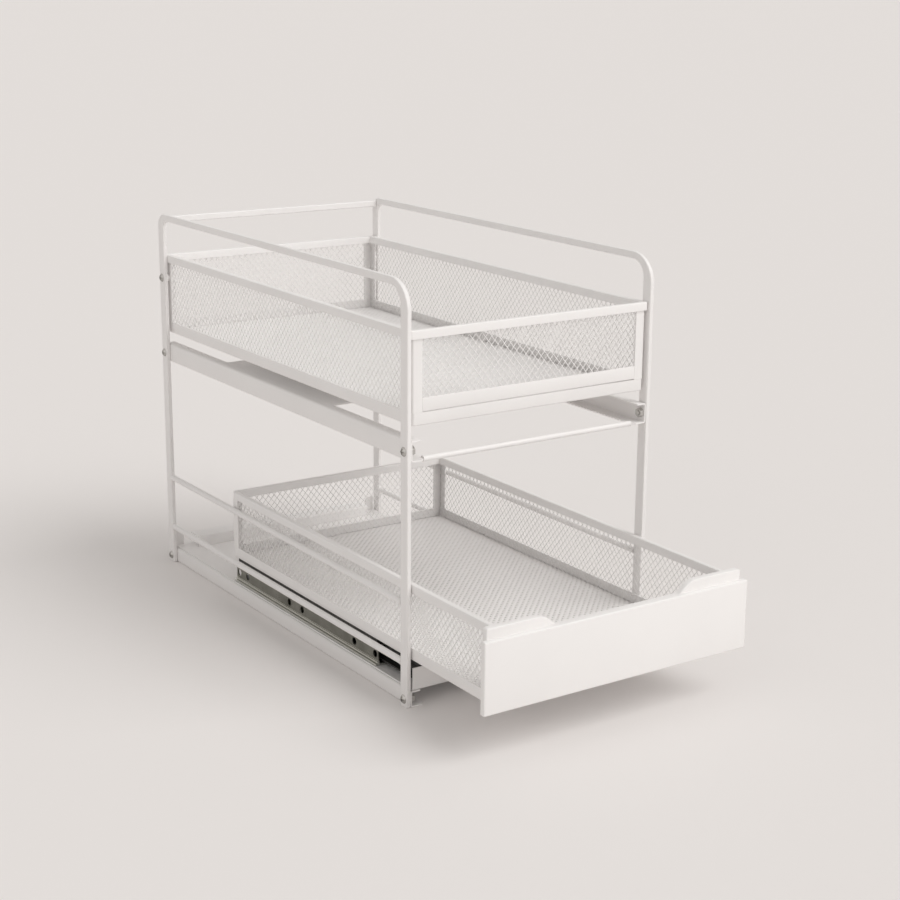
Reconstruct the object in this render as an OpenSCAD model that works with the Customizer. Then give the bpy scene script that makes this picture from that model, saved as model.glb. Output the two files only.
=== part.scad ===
// Two tier pull out basket for a kitchen cabinet.
// Two bent side frames carry a fixed mesh basket above and a sliding mesh drawer below.
// Millimetres, +Z up, +X to the right, the front faces -Y.
// The origin lies on the floor, in the middle of the footprint with the drawer part way out.

/* [Side frames] */
// Overall width across the two side frames
frame_w = 238; // [200:2:300]
// Depth of the side frames, front leg to rear leg
frame_d = 432; // [400:4:520]
// Overall height of the side frames
frame_h = 340; // [325:5:420]
// Thickness of the flat bar, measured across the frame
bar_t = 4; // [3:0.5:6]
// Width of the flat bar, measured front to rear on a leg
bar_d = 10; // [8:0.5:12]
// Height of the flat bar along the top
top_bar_h = 6; // [4:0.5:8]
// Outer radius of a side frame's front bend
bend_r = 24; // [16:1:34]
// Outer radius of its rear bend
rear_bend_r = 12; // [8:0.5:14]
// Distance of the rear tie bar in front of the frame's rear face
rear_rail_inset = 4.5; // [3:0.5:6]

/* [Rods] */
// Diameter of the guard rods along the sides
rod_d = 5.5; // [4:0.25:5.5]
// Height of the lower guard rod
rod_low_z = 36.5; // [28:0.5:44]
// Height of the upper guard rod
rod_high_z = 86; // [60:1:110]
// Diameter of the cross rod under the top basket
cross_rod_d = 4.5; // [3.5:0.25:6]
// Distance of the cross rod behind the front of the frame
cross_rod_y = 5; // [4:0.5:12]

/* [Side rails] */
// Height of the rails that stand on the floor
base_rail_h = 13.5; // [13:0.5:18]
// Height of the rails under the top basket
shelf_rail_h = 17; // [14:0.5:22]
// Height of the top of those rails above the floor
shelf_z = 217; // [190:1:217]
// Width of a rail's upper flange
top_flange_w = 9; // [7:0.5:12]
// Width of a rail's lower flange
low_flange_w = 13; // [10:0.5:16]
// Thickness of the rails' sheet steel
rail_t = 1.2; // [0.8:0.1:1.6]
// Depth of the plate that ties the upper rails together
tie_plate_d = 190; // [120:5:240]
// Distance of that plate behind the front of the frame
tie_plate_y = 137; // [100:1:160]

/* [Base tray] */
// Thickness of the tray's sheet steel
tray_t = 1; // [0.8:0.1:1.5]
// Height of the tray's front lip above the tray
front_lip_h = 18; // [8:0.5:20]
// Height of the step along the tray's rear edge
rear_step_h = 10.5; // [6:0.5:16]
// Depth of that step
rear_step_d = 18; // [12:1:18]
// Width of the ears at the tray's rear corners
ear_w = 9; // [6:0.5:11]
// Height of those ears above the tray
ear_h = 13.5; // [9:0.5:18]

/* [Top basket] */
// Height of the underside of the top basket
basket_z = 227.5; // [222:0.5:240]
// How far the top of its rim lies below the top of the frame
basket_top_drop = 38.5; // [35:0.5:55]
// Height of the rim's skirt
rim_h = 6.8; // [5:0.2:9]
// Overhang of the rim beyond the basket's side walls
rim_overhang = 2.5; // [2:0.5:8]
// Height of the border along the basket's foot
border_h = 10; // [7:0.5:14]
// Height of the sill above the border at the front
sill_h = 11.5; // [6:0.5:16]
// Open joint between that sill and the border
sill_gap = 0.8; // [0.4:0.1:1.5]
// Thickness of the basket's sheet strips
strip_t = 1.2; // [0.8:0.1:1.6]
// Width of each wing of a corner post
post_w = 9; // [6:0.5:10]
// Width of the flange that carries the basket's floor
basket_flange_w = 10; // [7:0.5:14]

/* [Drawer] */
// How far the drawer is pulled out
pull_out = 107; // [60:1:120]
// Length of the drawer with its front panel
drawer_len = 420; // [400:1:420]
// Gap between the drawer and the inner face of a leg
drawer_gap = 1.2; // [1:0.1:2.5]
// Height of the underside of the drawer
drawer_z = 39.5; // [37.5:0.5:44]
// Height of the top of the drawer's rim
drawer_top_z = 102; // [90:0.5:120]
// Height of the folded rim
drawer_rim_h = 7; // [5:0.2:10]
// Width across the folded rim
drawer_rim_t = 4.5; // [4:0.25:6]
// Height of the border along the drawer's foot
drawer_border_h = 10; // [7:0.5:14]
// Width of the flange that carries the drawer's floor
drawer_flange_w = 14; // [12:0.5:18]
// Depth of the folded front sheet
sheet_t = 5; // [3:0.25:7]
// How far the front sheet stands out beyond the drawer's walls
sheet_overhang = 9.2; // [2:0.2:10]
// Height of the front sheet's top above the rim
sheet_rise = 2; // [0:0.5:6]
// Width of the handle dip at its bottom
dip_w = 119; // [60:1:150]
// Depth of the handle dip
dip_depth = 9.5; // [4:0.5:14]
// Width of each sloping shoulder of the dip
dip_shoulder = 11.5; // [8.5:0.5:24]
// Width of the outer front panel
panel_w = 255; // [200:1:290]
// Height of the underside of the panel
panel_z = 38; // [32:0.5:39]
// Height of the panel
panel_h = 57.5; // [40:0.5:60]
// Depth of the folded panel
panel_d = 4.5; // [3:0.25:8]
// Thickness of the panel's sheet steel
panel_t = 1.2; // [0.8:0.1:1.6]

/* [Slides] */
// Height of the moving channel
channel_h = 17; // [16:0.5:20]
// Width of the moving channel
channel_w = 10; // [9.5:0.25:11]
// Thickness of the channel and of the fixed rail
channel_t = 1.2; // [1:0.1:1.4]
// Length of the moving channel
channel_len = 248; // [200:2:260]
// Distance of the channel from the inner face of the leg
channel_inset = 5.5; // [4.5:0.25:8]
// Length of the channel behind the drawer's rear wall
channel_tail = 3; // [0:0.5:6]
// Distance from the front lip to the rear end of the fixed rail
slide_rail_reach = 298; // [280:1:300]
// Diameter of the bearing balls
ball_d = 3; // [2.5:0.1:3.2]
// Number of balls in a row
ball_count = 7; // [4:1:8]
// Distance from one ball to the next
ball_pitch = 16; // [8:0.5:16]
// Length of the rubber stop behind the front lip
stop_len = 6; // [4:0.5:10]

/* [Nets] */
// Thickness of the expanded mesh
net_t = 0.8; // [0.6:0.1:1]
// Length of one diamond along a wall
wall_cell_l = 30; // [26:1:60]
// Height of one diamond on a wall
wall_cell_h = 22; // [16:1:30]
// Length of one diamond on a floor
floor_cell_l = 48; // [42:1:80]
// Width of one diamond on a floor
floor_cell_w = 43; // [34:1:60]
// Width of a strand
strand_w = 2.4; // [1.6:0.1:4]

/* [Fasteners] */
// Diameter of the frame screws
screw_d = 4; // [3:0.5:4.5]
// Diameter of their domed heads
head_d = 8; // [6.5:0.1:8.5]
// Height of the domed heads
head_h = 2.2; // [1.6:0.1:3]
// Width across the flats of the nuts
nut_af = 7; // [6:0.1:8]
// Thickness of the nuts
nut_h = 3.2; // [2:0.1:4]
// Height of the screws through the top basket's rear posts
basket_screw_z = 280; // [262:1:285]
// Diameter of the rivets under the drawer
rivet_d = 2.4; // [2:0.1:2.6]
// Diameter of the screws that hold the fixed rails
foot_screw_d = 3; // [2:0.5:3.5]

/* [Hidden] */

$fn = 48;
white = [0.93, 0.92, 0.90];
zinc = [0.62, 0.62, 0.60];
steel = [0.75, 0.75, 0.76];
black = [0.10, 0.10, 0.10];

hole_play = 0.3;        // extra diameter of a screw's hole
fit_play = 0.1;         // extra diameter of a rivet's, nut's or ball's hole
cut = 1;                // how far a cutter runs past the face it cuts
flange_chamfer = 3;     // corners cut off the rails' lower flanges
part_gap = 0.5;         // gap left between two faces that pass or meet
end_gap = 0.8;          // gap past the end of a screw, and beside a row of balls
hole_reach = 10;        // how far a frame screw's hole reaches past the leg
tray_gap = 2;           // gap between the tray's sides and the legs
tray_end_gap = 1;       // how far the tray stays behind the legs' outer edges
basket_end_gap = 1.7;   // how far the top basket stays in front of the rear legs' outer edges

inner_x = frame_w / 2 - bar_t;                    // inner face of a leg
leg_y = [bar_d / 2, frame_d - bar_d / 2];         // middles of the front and rear legs
rail_web_x = inner_x - rail_t;                    // inner face of a rail's web
shelf_rail_z = shelf_z - shelf_rail_h;

tray_z = base_rail_h + tray_t;                    // top of the tray
tray_x = inner_x - tray_gap;
tray_front_y = tray_end_gap;
tray_rear_y = frame_d - tray_end_gap;
lip_in_y = tray_front_y + tray_t;                 // inner face of the front lip
step_y = tray_rear_y - rear_step_d;

basket_x = inner_x - rim_overhang;                // outer face of the basket's side walls
basket_front_y = 3;
basket_rear_y = frame_d - basket_end_gap;
border_top_z = basket_z + border_h;
basket_top_z = frame_h - basket_top_drop;
basket_net_top_z = basket_top_z - strip_t;
skirt_z = basket_top_z - rim_h;

sheet_back_y = -pull_out - part_gap;
panel_back_y = sheet_back_y - sheet_t;            // also the sheet's front face
panel_front_y = panel_back_y - panel_d;
drawer_x = inner_x - drawer_gap;                  // outer face of the drawer's walls
sheet_x = drawer_x + sheet_overhang;              // end of the front sheet
drawer_rear_y = panel_front_y + drawer_len;
drawer_border_z = drawer_z + drawer_border_h;
drawer_floor_z = drawer_z + strip_t;
drawer_rim_z = drawer_top_z - drawer_rim_h;
drawer_net_top_z = drawer_top_z - strip_t;
sheet_top_z = drawer_top_z + sheet_rise;

channel_x = inner_x - channel_inset;              // outer face of the channel's web
channel_z = tray_z + part_gap;
channel_top_z = channel_z + channel_h;
channel_mid_z = channel_z + channel_h / 2;
channel_rear_y = drawer_rear_y + channel_tail;
channel_front_y = channel_rear_y - channel_len;
channel_lip_x = channel_x - channel_w;            // inner face of the channel's lips
channel_lip_h = 1.6;
channel_hole_d = 6.2;
channel_hole_at = [0.02, 0.153, 0.508, 0.6, 0.915, 0.98]; // along the channel, as shares of its length
bead_h = 1.2;                                     // height of each bead along the channel's lower edge
bead_pitch = 2;                                   // from one bead to the next
bead_out = [2.4, 1.2];                            // how far the lower and the upper bead stand out
race_depth = 0.4;                                 // depth of a ball's groove
ball_x = channel_lip_x + channel_t + ball_d / 2 + end_gap;
ball_rise = channel_h / 2 - channel_t + race_depth - fit_play / 2 - ball_d / 2;

stop_gap = 0.3;                                   // from the rubber stop to the fixed rail
stop_side_gap = 1;                                // from the channel's web to the stop
stop_w = 7;
stop_foot_gap = 1.5;
stop_top_gap = 2;
slide_rail_front_y = lip_in_y + stop_len + stop_gap;
slide_rail_rear_y = lip_in_y + slide_rail_reach;
slide_rail_half_h = ball_rise - ball_d / 2 + race_depth - fit_play / 2;
rail_tip_gap = 2.3;                               // from the channel's web to the fixed rail's flanges
rail_web_gap = 1.2;                               // from the channel's lips to the fixed rail's web
slide_rail_tip_x = channel_x - channel_t - rail_tip_gap;
slide_rail_web_x = channel_lip_x - rail_web_gap;
slide_foot_w = 10;
foot_screw_x = slide_rail_web_x - channel_t - slide_foot_w / 2;

cage_t = 0.7;
cage_end = 10;                                    // from an end of a cage to its first ball
cage_x = channel_x - channel_t - end_gap;         // outer face of the cage
cage_len = (ball_count - 1) * ball_pitch + 2 * cage_end;
closed_overlap_y = (channel_front_y + pull_out + slide_rail_rear_y) / 2;
cage_mid_y = closed_overlap_y - pull_out / 2;
cage_wing_x = ball_x - ball_d / 2 - stop_gap;

mount_w = 8;
mount_front_gap = 2;                              // from the channel's front end to its mount
mount_rear_gap = 1;
rivet_set = 2.9;                                  // from the channel's web to the rivets' middles
rivet_x = channel_x - rivet_set;
rivet_head_d = 5;
rivet_head_h = strip_t / 2;                       // the heads lie flush in the drawer's flange
rivet_inset = 20;                                 // from an end of the channel to its first rivet
rivet_run = channel_len - 2 * rivet_inset;
rivet_y = [for (i = [0:3]) channel_front_y + rivet_inset + i * rivet_run / 3];
foot_screw_inset = 22;                            // from an end of the fixed rail to its first screw
foot_screw_run = slide_rail_rear_y - slide_rail_front_y - 2 * foot_screw_inset;
foot_screw_y = [for (i = [0:2]) slide_rail_front_y + foot_screw_inset + i * foot_screw_run / 2];
foot_screw_tail = 1.5;                            // how far such a screw reaches below the tray
foot_head_ratio = 1.8;                            // its head's diameter over its own
foot_head_h = 1.6;

head_dome = 0.6;                                  // centre of a head's dome, below the head
recess_len_ratio = 0.6;                           // length of a head's cross recess over its diameter
recess_w_ratio = 0.15;                            // width of the recess's slots over its diameter
recess_floor = 0.8;

// how far the rear bend has dropped where the rear tie bar meets it
rear_rail_drop = rear_bend_r - sqrt(pow(rear_bend_r, 2) - pow(rear_bend_r - rear_rail_inset, 2));

middle_y = (frame_d + panel_front_y) / 2;         // middle of the footprint

// Moves a piece from the front of the frame to the part's origin
module placed() {
    translate([0, -middle_y, 0]) children();
}

// Draws a left hand piece on the left or on the right
module on_side(side) {
    if (side == "left") children();
    else mirror([1, 0, 0]) children();
}

module on_both_sides() {
    for (side = ["left", "right"]) on_side(side) children();
}

// A box between two corners
module block(low, high) {
    translate(low) cube(high - low);
}

// A cylinder along X from x0 to x1
module bar_x(x0, x1, y, z, d) {
    translate([x0, y, z]) rotate([0, 90, 0]) cylinder(d = d, h = x1 - x0);
}

// A cylinder along Y from y0 to y1
module bar_y(y0, y1, x, z, d) {
    translate([x, y0, z]) rotate([-90, 0, 0]) cylinder(d = d, h = y1 - y0);
}

// An arch with rounded top corners, drawn in Y and Z
module arch(y0, y1, top, front_r, rear_r) {
    translate([y0, 0]) square([2 * front_r, top - front_r]);
    translate([y0 + front_r, 0]) square([y1 - y0 - front_r - rear_r, top]);
    translate([y1 - 2 * rear_r, 0]) square([2 * rear_r, top - rear_r]);
    translate([y0 + front_r, top - front_r]) circle(r = front_r);
    translate([y1 - rear_r, top - rear_r]) circle(r = rear_r);
}

// Stands a shape drawn in Y and Z up, between x0 and x0 + t
module upright(x0, t) {
    translate([x0, 0, 0]) rotate([90, 0, 90]) linear_extrude(t) children();
}

// A rectangular ring with an outer half width x, walls of thickness t
module ring(x, y0, y1, z0, z1, tx, ty) {
    difference() {
        block([-x, y0, z0], [x, y1, z1]);
        block([-x + tx, y0 + ty, z0 - cut], [x - tx, y1 - ty, z1 + cut]);
    }
}

// A flat net of diamonds, drawn flat with its corner at the origin
module net(length, height, cell_l, cell_h) {
    columns = floor((length - strand_w) / cell_l);
    rows = floor((height - strand_w) / cell_h);
    start_l = (length - columns * cell_l) / 2;
    start_h = (height - rows * cell_h) / 2;
    half_l = (cell_l - strand_w * 1.2) / 2;
    half_h = (cell_h - strand_w * 1.2) / 2;
    difference() {
        square([length, height]);
        for (i = [0:columns - 1], j = [0:rows - 1])
            diamond(start_l + (i + 0.5) * cell_l, start_h + (j + 0.5) * cell_h, half_l, half_h);
        for (i = [1:columns - 1], j = [1:max(rows - 1, 1)])
            if (rows > 1) diamond(start_l + i * cell_l, start_h + j * cell_h, half_l, half_h);
    }
}

module diamond(x, y, half_l, half_h) {
    translate([x, y]) polygon([[-half_l, 0], [0, -half_h], [half_l, 0], [0, half_h]]);
}

// A net that stands along Y, its outer face at x
module side_net(x, y0, y1, z0, z1) {
    translate([x, y0, z0]) rotate([90, 0, 90]) linear_extrude(net_t)
        net(y1 - y0, z1 - z0, wall_cell_l, wall_cell_h);
}

// A net that stands along X, its outer face at y, thickness towards +Y
module cross_net(x, y, z0, z1) {
    translate([-x, y + net_t, z0]) rotate([90, 0, 0]) linear_extrude(net_t)
        net(2 * x, z1 - z0, wall_cell_l, wall_cell_h);
}

// A net that lies flat on z
module floor_net(x, y0, y1, z) {
    translate([x, y0, z]) rotate([0, 0, 90]) linear_extrude(net_t)
        net(y1 - y0, 2 * x, floor_cell_l, floor_cell_w);
}

// ---- Side frames ----

module screw_holes() {
    for (y = leg_y, z = [base_rail_h / 2, shelf_rail_z + shelf_rail_h / 2])
        bar_x(-frame_w / 2 - cut, -inner_x + hole_reach, y, z, screw_d + hole_play);
}

module basket_screw_hole() {
    bar_x(-frame_w / 2 - cut, -inner_x + cut, leg_y[1], basket_screw_z, screw_d + hole_play);
}

module side_frame(side) {
    color(white) placed() on_side(side) difference() {
        upright(-frame_w / 2, bar_t) difference() {
            arch(0, frame_d, frame_h, bend_r, rear_bend_r);
            translate([0, -cut]) arch(bar_d, frame_d - bar_d, frame_h - top_bar_h + cut,
                bend_r - bar_d, rear_bend_r - top_bar_h);
        }
        screw_holes();
        basket_screw_hole();
    }
}

module rear_top_rail() {
    y = frame_d - rear_rail_inset;
    top = frame_h - rear_rail_drop;
    color(white) placed() block([-inner_x, y - bar_t, top - top_bar_h], [inner_x, y, top]);
}

module guard_rod(side, z) {
    color(white) placed() on_side(side) bar_y(bar_d, frame_d - bar_d, -frame_w / 2 + bar_t / 2, z, rod_d);
}

// ---- Rails, ties and tray ----

// The lower flange of a rail, its two inner corners cut off
module low_flange(length) {
    w = low_flange_w;
    c = flange_chamfer;
    polygon([[0, 0], [w - c, 0], [w, c], [w, length - c], [w - c, length], [0, length]]);
}

// A channel against the legs, open towards the middle
module side_rail(z, h) {
    difference() {
        union() {
            block([-inner_x, part_gap, z], [-inner_x + rail_t, frame_d - part_gap, z + h]);
            block([-inner_x, part_gap, z + h - rail_t], [-inner_x + top_flange_w, frame_d - part_gap, z + h]);
            translate([-inner_x, part_gap, z]) linear_extrude(rail_t) low_flange(frame_d - 2 * part_gap);
        }
        screw_holes();
    }
}

module shelf_rail(side) {
    color(white) placed() on_side(side) side_rail(shelf_rail_z, shelf_rail_h);
}

module base_rail(side) {
    color(white) placed() on_side(side) side_rail(0, base_rail_h);
}

module shelf_tie_plate() {
    x = rail_web_x - 0.3;
    z = shelf_z - rail_t;
    color(white) placed()
        block([-x, tie_plate_y, z - rail_t], [x, tie_plate_y + tie_plate_d, z]);
}

module front_cross_rod() {
    x = inner_x - low_flange_w;
    color(white) placed() bar_x(-x, x, cross_rod_y, shelf_rail_z + rail_t / 2, cross_rod_d);
}

// A rear ear, its outer top corner square and its inner one round
module tray_ear() {
    r = ear_w / 2;
    translate([-tray_x, tray_rear_y, tray_z]) rotate([90, 0, 0]) linear_extrude(tray_t) {
        square([ear_w, ear_h - r]);
        square([ear_w - r, ear_h]);
        translate([ear_w - r, ear_h - r]) circle(r = r);
    }
}

module base_tray() {
    step_x = slide_rail_web_x - channel_t - 1;
    step_top = tray_z + rear_step_h;
    color(white) placed() {
        difference() {
            block([-tray_x, tray_front_y, base_rail_h], [tray_x, tray_rear_y, tray_z]);
            on_both_sides() for (y = foot_screw_y)
                translate([-foot_screw_x, y, base_rail_h - cut])
                    cylinder(d = foot_screw_d + hole_play, h = tray_t + 2 * cut);
        }
        block([-tray_x, tray_front_y, tray_z], [tray_x, lip_in_y, tray_z + front_lip_h]);
        block([-step_x, step_y, tray_z], [step_x, step_y + tray_t, step_top]);
        block([-step_x, step_y, step_top - tray_t], [step_x, tray_rear_y, step_top]);
        on_both_sides() tray_ear();
    }
}

// ---- Screws and nuts ----

// A domed screw with a cross recess, along +X, its shank starting at the face x
module cross_screw(x, y, z, length) {
    dome = head_d / 2;
    half_l = head_d * recess_len_ratio / 2;
    half_w = head_d * recess_w_ratio / 2;
    difference() {
        union() {
            translate([x, y, z]) rotate([0, -90, 0]) rotate_extrude()
                intersection() {
                    square([dome, head_h]);
                    translate([0, -dome * head_dome]) circle(r = dome * head_dome + head_h);
                }
            bar_x(x, x + length, y, z, screw_d);
        }
        for (half = [[half_l, half_w], [half_w, half_l]])
            block([x - head_h - cut, y - half[0], z - half[1]], [x - recess_floor, y + half[0], z + half[1]]);
    }
}

module hex_nut(x, y, z) {
    difference() {
        translate([x, y, z]) rotate([0, 90, 0]) cylinder(d = nut_af / cos(30), h = nut_h, $fn = 6);
        bar_x(x - cut, x + nut_h + cut, y, z, screw_d + fit_play);
    }
}

module frame_screws() {
    length = bar_t + rail_t + nut_h + end_gap;
    color(steel) placed() on_both_sides()
        for (y = leg_y, z = [base_rail_h / 2, shelf_rail_z + shelf_rail_h / 2])
            cross_screw(-frame_w / 2, y, z, length);
}

module frame_nuts() {
    color(steel) placed() on_both_sides()
        for (y = leg_y, z = [base_rail_h / 2, shelf_rail_z + shelf_rail_h / 2])
            hex_nut(-rail_web_x, y, z);
}

module basket_screws() {
    length = bar_t + rim_overhang - part_gap;
    color(steel) placed() on_both_sides() cross_screw(-frame_w / 2, leg_y[1], basket_screw_z, length);
}

// Threaded bushes, welded to the basket's rear posts
module basket_spacers() {
    color(white) placed() on_both_sides() difference() {
        bar_x(-inner_x, -basket_x, leg_y[1], basket_screw_z, head_d);
        bar_x(-inner_x - cut, -basket_x + cut, leg_y[1], basket_screw_z, screw_d + fit_play);
    }
}

// ---- Top basket ----

// The rim is folded down on both sides of the nets' upper edges
module basket_rim() {
    wall = strip_t + net_t;
    y0 = basket_front_y - strip_t;
    y1 = basket_rear_y + strip_t;
    color(white) placed() {
        ring(inner_x, y0, y1, basket_net_top_z, basket_top_z, rim_overhang + wall + strip_t, wall + 2 * strip_t);
        ring(inner_x, y0, y1, skirt_z, basket_net_top_z, strip_t, strip_t);
        ring(basket_x - wall, basket_front_y + wall, basket_rear_y - wall, skirt_z, basket_net_top_z,
            strip_t, strip_t);
    }
}

// An angle with its outer corner at x and y, running towards the middle and by dir along Y
module corner_post(x, y, dir, z0, z1) {
    y1 = y + dir * post_w;
    y2 = y + dir * strip_t;
    block([-x, min(y, y1), z0], [-x + strip_t, max(y, y1), z1]);
    block([-x, min(y, y2), z0], [-x + post_w, max(y, y2), z1]);
}

module basket_corner_posts() {
    color(white) placed() on_both_sides() {
        corner_post(basket_x, basket_front_y, 1, border_top_z, basket_net_top_z);
        corner_post(basket_x, basket_rear_y, -1, border_top_z, basket_net_top_z);
    }
}

module basket_bottom_frame() {
    color(white) placed() {
        ring(basket_x, basket_front_y, basket_rear_y, basket_z, border_top_z, strip_t, strip_t);
        ring(basket_x, basket_front_y, basket_rear_y, basket_z, basket_z + strip_t,
            basket_flange_w, basket_flange_w);
    }
}

module basket_front_sill() {
    x = basket_x - post_w;
    z = border_top_z + sill_gap;
    y = basket_front_y;
    color(white) placed() block([-x, y, z], [x, y + strip_t, border_top_z + sill_h]);
}

module basket_net_side(side) {
    y0 = basket_front_y + strip_t + net_t;
    y1 = basket_rear_y - strip_t - net_t;
    color(white) placed() on_side(side)
        side_net(-basket_x + strip_t, y0, y1, basket_z + strip_t, basket_net_top_z);
}

module basket_net_front() {
    color(white) placed()
        cross_net(basket_x - strip_t, basket_front_y + strip_t, basket_z + strip_t, basket_net_top_z);
}

module basket_net_rear() {
    color(white) placed()
        cross_net(basket_x - strip_t, basket_rear_y - strip_t - net_t, basket_z + strip_t, basket_net_top_z);
}

module basket_net_floor() {
    y0 = basket_front_y + strip_t + net_t;
    y1 = basket_rear_y - strip_t - net_t;
    color(white) placed() floor_net(basket_x - strip_t - net_t, y0, y1, basket_z + strip_t);
}

// ---- Drawer ----

// A band along the drawer's sides and rear, between two distances from its outer faces
module drawer_band(outer, inner, z0, z1) {
    difference() {
        block([-drawer_x + outer, sheet_back_y, z0], [drawer_x - outer, drawer_rear_y - outer, z1]);
        block([-drawer_x + inner, sheet_back_y - cut, z0 - cut],
            [drawer_x - inner, drawer_rear_y - inner, z1 + cut]);
    }
}

// The rim is folded down on both sides of the nets' upper edges
module drawer_rim() {
    color(white) placed() {
        drawer_band(0, drawer_rim_t, drawer_net_top_z, drawer_top_z);
        drawer_band(0, strip_t, drawer_rim_z, drawer_net_top_z);
        drawer_band(drawer_rim_t - strip_t, drawer_rim_t, drawer_rim_z, drawer_net_top_z);
    }
}

module drawer_corner_posts() {
    color(white) placed() on_both_sides()
        corner_post(drawer_x, drawer_rear_y, -1, drawer_border_z, drawer_rim_z);
}

module drawer_bottom_frame() {
    color(white) placed() difference() {
        union() {
            ring(drawer_x, sheet_back_y, drawer_rear_y, drawer_z, drawer_border_z, strip_t, strip_t);
            ring(drawer_x, sheet_back_y, drawer_rear_y, drawer_z, drawer_floor_z,
                drawer_flange_w, drawer_flange_w);
        }
        rivet_holes();
        on_both_sides() for (y = rivet_y)
            translate([-rivet_x, y, drawer_floor_z - rivet_head_h])
                cylinder(d = rivet_head_d + fit_play, h = rivet_head_h + cut);
    }
}

// Outline of the front sheet with its handle dip, drawn in from its edge by inset
module sheet_outline(inset) {
    shift = inset * tan(atan2(dip_depth, dip_shoulder) / 2);
    low_x = dip_w / 2 + shift;
    high_x = dip_w / 2 + dip_shoulder + shift;
    end_x = sheet_x - inset;
    top = sheet_top_z - inset;
    foot = drawer_z + inset;
    polygon([
        [-end_x, foot], [end_x, foot], [end_x, top], [high_x, top], [low_x, top - dip_depth],
        [-low_x, top - dip_depth], [-high_x, top], [-end_x, top]
    ]);
}

// The front sheet is folded back all round
module drawer_front_sheet() {
    color(white) placed() difference() {
        translate([0, sheet_back_y, 0]) rotate([90, 0, 0])
            linear_extrude(sheet_t) sheet_outline(0);
        translate([0, sheet_back_y + cut, 0]) rotate([90, 0, 0])
            linear_extrude(sheet_t - strip_t + cut) sheet_outline(strip_t);
    }
}

// The panel is a shallow pan, open towards the drawer
module drawer_front_panel() {
    x = panel_w / 2;
    top = panel_z + panel_h;
    color(white) placed() difference() {
        block([-x, panel_front_y, panel_z], [x, panel_back_y, top]);
        block([-x + panel_t, panel_front_y + panel_t, panel_z + panel_t],
            [x - panel_t, panel_back_y + cut, top - panel_t]);
    }
}

module drawer_net_side(side) {
    y1 = drawer_rear_y - strip_t - net_t;
    color(white) placed() on_side(side)
        side_net(-drawer_x + strip_t, sheet_back_y + strip_t, y1, drawer_floor_z, drawer_net_top_z);
}

module drawer_net_rear() {
    color(white) placed()
        cross_net(drawer_x - strip_t, drawer_rear_y - strip_t - net_t, drawer_floor_z, drawer_net_top_z);
}

module drawer_net_floor() {
    y1 = drawer_rear_y - strip_t - net_t;
    color(white) placed()
        floor_net(drawer_x - strip_t - net_t, sheet_back_y + strip_t, y1, drawer_floor_z);
}

// ---- Slides ----

// Grooves for the two rows of balls, cut along the whole slide
module ball_races() {
    for (s = [-1, 1])
        bar_y(-frame_d, 2 * frame_d, -ball_x, channel_mid_z + s * ball_rise, ball_d + fit_play);
}

module rivet_holes() {
    on_both_sides() for (y = rivet_y)
        translate([-rivet_x, y, channel_mid_z])
            cylinder(d = rivet_d + fit_play, h = drawer_floor_z - channel_mid_z + cut);
}

// The moving channel, open towards the middle, with its ball lips and two beads along its outer face
module slide_channel(side) {
    x0 = -channel_x;
    x1 = -channel_lip_x;
    y0 = channel_front_y;
    y1 = channel_rear_y;
    color(zinc) placed() on_side(side) difference() {
        union() {
            block([x0, y0, channel_z], [x0 + channel_t, y1, channel_top_z]);
            block([x0, y0, channel_top_z - channel_t], [x1, y1, channel_top_z]);
            block([x0, y0, channel_z], [x1, y1, channel_z + channel_t]);
            block([x1 - channel_t, y0, channel_top_z - channel_t - channel_lip_h], [x1, y1, channel_top_z]);
            block([x1 - channel_t, y0, channel_z], [x1, y1, channel_z + channel_t + channel_lip_h]);
            for (i = [0:1]) {
                z = channel_z + i * bead_pitch;
                block([x0 - bead_out[i], y0, z], [x0, y1, z + bead_h]);
            }
        }
        ball_races();
        rivet_holes();
        for (at = channel_hole_at)
            bar_x(x0 - cut, x0 + channel_t + cut, y0 + at * channel_len, channel_mid_z, channel_hole_d);
    }
}

module channel_mount(side) {
    color(black) placed() on_side(side) difference() {
        block([-channel_x, channel_front_y + mount_front_gap, channel_top_z],
            [-channel_x + mount_w, drawer_rear_y - mount_rear_gap, drawer_z]);
        rivet_holes();
    }
}

module mount_rivets() {
    color(steel) placed() on_both_sides() for (y = rivet_y)
        translate([-rivet_x, y, 0]) {
            translate([0, 0, channel_top_z - channel_t])
                cylinder(d = rivet_d, h = drawer_floor_z - channel_top_z + channel_t);
            translate([0, 0, drawer_floor_z - rivet_head_h]) cylinder(d = rivet_head_d, h = rivet_head_h);
        }
}

// The fixed rail: a smaller channel on a foot, screwed to the tray
module slide_rail(side) {
    x0 = -slide_rail_tip_x;
    x1 = -slide_rail_web_x;
    y0 = slide_rail_front_y;
    y1 = slide_rail_rear_y;
    low = channel_mid_z - slide_rail_half_h;
    high = channel_mid_z + slide_rail_half_h;
    color(black) placed() on_side(side) difference() {
        union() {
            block([x1, y0, tray_z], [x1 + channel_t, y1, high]);
            block([x0, y0, high - channel_t], [x1 + channel_t, y1, high]);
            block([x0, y0, low], [x1 + channel_t, y1, low + channel_t]);
            block([x1, y0, tray_z], [x1 + channel_t + slide_foot_w, y1, tray_z + tray_t]);
        }
        ball_races();
        for (y = foot_screw_y)
            translate([-foot_screw_x, y, tray_z - cut])
                cylinder(d = foot_screw_d + hole_play, h = tray_t + 2 * cut);
    }
}

module slide_rail_screws() {
    color(steel) placed() on_both_sides() for (y = foot_screw_y) translate([-foot_screw_x, y, 0]) {
        translate([0, 0, base_rail_h - foot_screw_tail])
            cylinder(d = foot_screw_d, h = 2 * tray_t + foot_screw_tail);
        translate([0, 0, tray_z + tray_t])
            cylinder(d = foot_screw_d * foot_head_ratio, h = foot_head_h);
    }
}

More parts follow.
